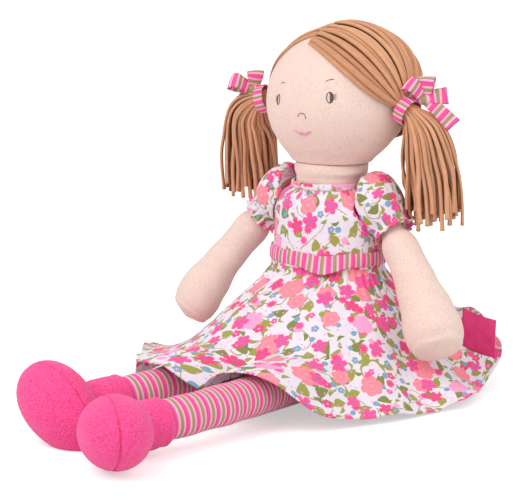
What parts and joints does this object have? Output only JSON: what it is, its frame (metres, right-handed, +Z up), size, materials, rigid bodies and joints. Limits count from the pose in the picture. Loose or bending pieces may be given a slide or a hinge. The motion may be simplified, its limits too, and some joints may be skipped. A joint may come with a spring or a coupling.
{
  "type": "rag doll",
  "caption": "Seated cloth rag doll with a stuffed head, body and limbs, jersey-strip hair in tied pigtails, a floral cotton dress, striped stockings and fleece shoes",
  "frame": {"origin": "on the floor under the middle of the flat seat", "axes": "+Z up; the doll faces -Y; its left hand is on +X"},
  "size_m": [0.2037, 0.3364, 0.2013],
  "materials": {
    "skin": "short-pile velour",
    "filling": "polyester fibre",
    "cotton": "floral printed cotton",
    "ribbon": "striped knitted ribbon",
    "label": "woven satin",
    "hair": "rolled jersey strips",
    "elastic": "flat elastic",
    "stocking": "striped knitted jersey",
    "fleece": "brushed fleece"
  },
  "bodies": {
    "torso": {"torso_skin": "skin", "torso_filling": "filling", "bodice_front": "cotton", "bodice_back": "cotton", "back_closure": "cotton", "neckline_binding": "cotton", "waist_sash": "ribbon", "skirt": "cotton", "label_tab": "label"},
    "neck": {"neck_skin": "skin", "neck_filling": "filling"},
    "head": {"head_face": "skin", "head_back": "skin", "head_filling": "filling", "hair_left": "hair", "hair_right": "hair"},
    "pigtail_left": {"pigtail_left": "hair", "hair_ribbon_left": "ribbon"},
    "arm_left": {"arm_skin_left": "skin", "arm_filling_left": "filling", "sleeve_left": "cotton", "sleeve_elastic_left": "elastic"},
    "leg_left": {"stocking_left": "stocking", "leg_filling_left": "filling", "shoe_shaft_left": "fleece"},
    "foot_left": {"shoe_upper_left": "fleece", "shoe_sole_left": "fleece", "shoe_filling_left": "filling"},
    "pigtail_right": {"pigtail_right": "hair", "hair_ribbon_right": "ribbon"},
    "arm_right": {"arm_skin_right": "skin", "arm_filling_right": "filling", "sleeve_right": "cotton", "sleeve_elastic_right": "elastic"},
    "leg_right": {"stocking_right": "stocking", "leg_filling_right": "filling", "shoe_shaft_right": "fleece"},
    "foot_right": {"shoe_upper_right": "fleece", "shoe_sole_right": "fleece", "shoe_filling_right": "filling"}
  },
  "joints": [
    {"name": "neck_nod", "type": "hinge", "parent": "torso", "child": "neck", "pos_m": [0, 0.00945, 0.108], "axis": [1, 0, 0], "range_deg": [-8, 8], "deforming": ["pigtail_left", "pigtail_right"]},
    {"name": "head_turn", "type": "hinge", "parent": "neck", "child": "head", "pos_m": [0, 0.00945, 0.1238], "axis": [0, 0, 1], "range_deg": [-15, 15], "deforming": ["pigtail_left", "pigtail_right"]},
    {"name": "pigtail_swing_left", "type": "hinge", "parent": "head", "child": "pigtail_left", "pos_m": [0.0465, 0.00945, 0.1565], "axis": [1, 0, 0], "range_deg": [0, 50]},
    {"name": "arm_swing_left", "type": "hinge", "parent": "torso", "child": "arm_left", "pos_m": [0.028, 0.00923, 0.1055], "axis": [1, 0, 0], "range_deg": [-90, 0]},
    {"name": "leg_swing_left", "type": "hinge", "parent": "torso", "child": "leg_left", "pos_m": [0.025, -0.019, 0.0126], "axis": [1, 0, 0], "range_deg": [0, 90], "deforming": ["skirt"]},
    {"name": "ankle_left", "type": "hinge", "parent": "leg_left", "child": "foot_left", "pos_m": [0.02515, -0.19045, 0.01575], "axis": [0.1744, -0.1132, -0.9781], "range_deg": [-12, 12]},
    {"name": "pigtail_swing_right", "type": "hinge", "parent": "head", "child": "pigtail_right", "pos_m": [-0.0445, 0.00945, 0.1565], "axis": [1, 0, 0], "range_deg": [0, 50]},
    {"name": "arm_swing_right", "type": "hinge", "parent": "torso", "child": "arm_right", "pos_m": [-0.028, 0.00923, 0.1055], "axis": [1, 0, 0], "range_deg": [-90, 0]},
    {"name": "leg_swing_right", "type": "hinge", "parent": "torso", "child": "leg_right", "pos_m": [-0.025, 0.005, 0.0126], "axis": [1, 0, 0], "range_deg": [0, 90], "deforming": ["skirt"]},
    {"name": "ankle_right", "type": "hinge", "parent": "leg_right", "child": "foot_right", "pos_m": [-0.02185, -0.16642, 0.01575], "axis": [0.6424, 0.0224, 0.766], "range_deg": [-12, 12]}
  ]
}
